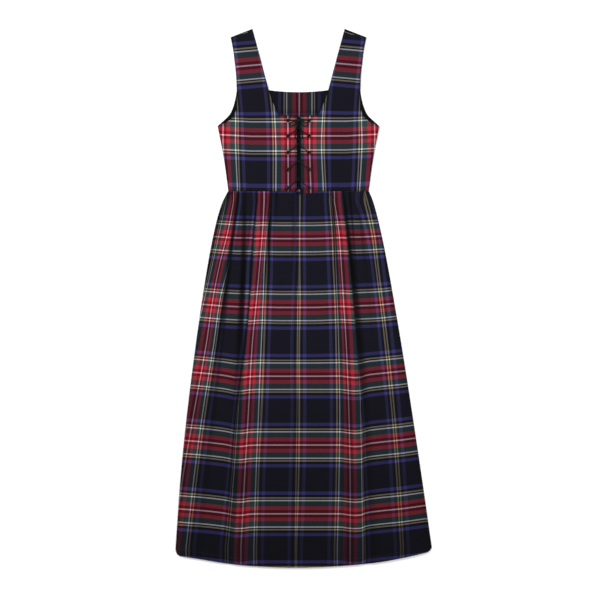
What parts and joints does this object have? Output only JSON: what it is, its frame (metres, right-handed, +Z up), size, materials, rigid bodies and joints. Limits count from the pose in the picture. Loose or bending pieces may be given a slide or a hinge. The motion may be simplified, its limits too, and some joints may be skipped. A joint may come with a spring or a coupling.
{
  "type": "tartan dress",
  "caption": "Sleeveless tartan pinafore dress with wide straps, a laced front bodice and a gathered A-line skirt, laid flat on a surface.",
  "frame": {"origin": "centre of the box on the surface the dress lies on", "axes": "+Y towards the shoulders, +X to the viewer's right, +Z up from the surface, out of the dress's front"},
  "size_m": [0.6401, 1.346, 0.0119],
  "materials": {
    "tartan_cloth": "fine twill tartan in black, red, green, blue, white and yellow",
    "black_cloth": "plain black cloth, matte",
    "lace_cord": "braided black cord",
    "eyelet_metal": "dark gunmetal, satin"
  },
  "bodies": {
    "root": {"armhole_facing_left": "black_cloth", "armhole_facing_right": "black_cloth", "bodice_back": "tartan_cloth", "bodice_front_left": "tartan_cloth", "bodice_front_right": "tartan_cloth", "eyelet_left_1": "eyelet_metal", "eyelet_left_2": "eyelet_metal", "eyelet_left_3": "eyelet_metal", "eyelet_left_4": "eyelet_metal", "eyelet_left_5": "eyelet_metal", "eyelet_right_1": "eyelet_metal", "eyelet_right_2": "eyelet_metal", "eyelet_right_3": "eyelet_metal", "eyelet_right_4": "eyelet_metal", "eyelet_right_5": "eyelet_metal", "lace_end_left": "lace_cord", "lace_end_right": "lace_cord", "lace_knot": "lace_cord", "lace_loop_left": "lace_cord", "lace_loop_right": "lace_cord", "lace_strand_left": "lace_cord", "lace_strand_right": "lace_cord", "lacing_underlay": "black_cloth", "skirt_back": "tartan_cloth", "skirt_front_left": "tartan_cloth", "skirt_front_right": "tartan_cloth"}
  },
  "joints": []
}
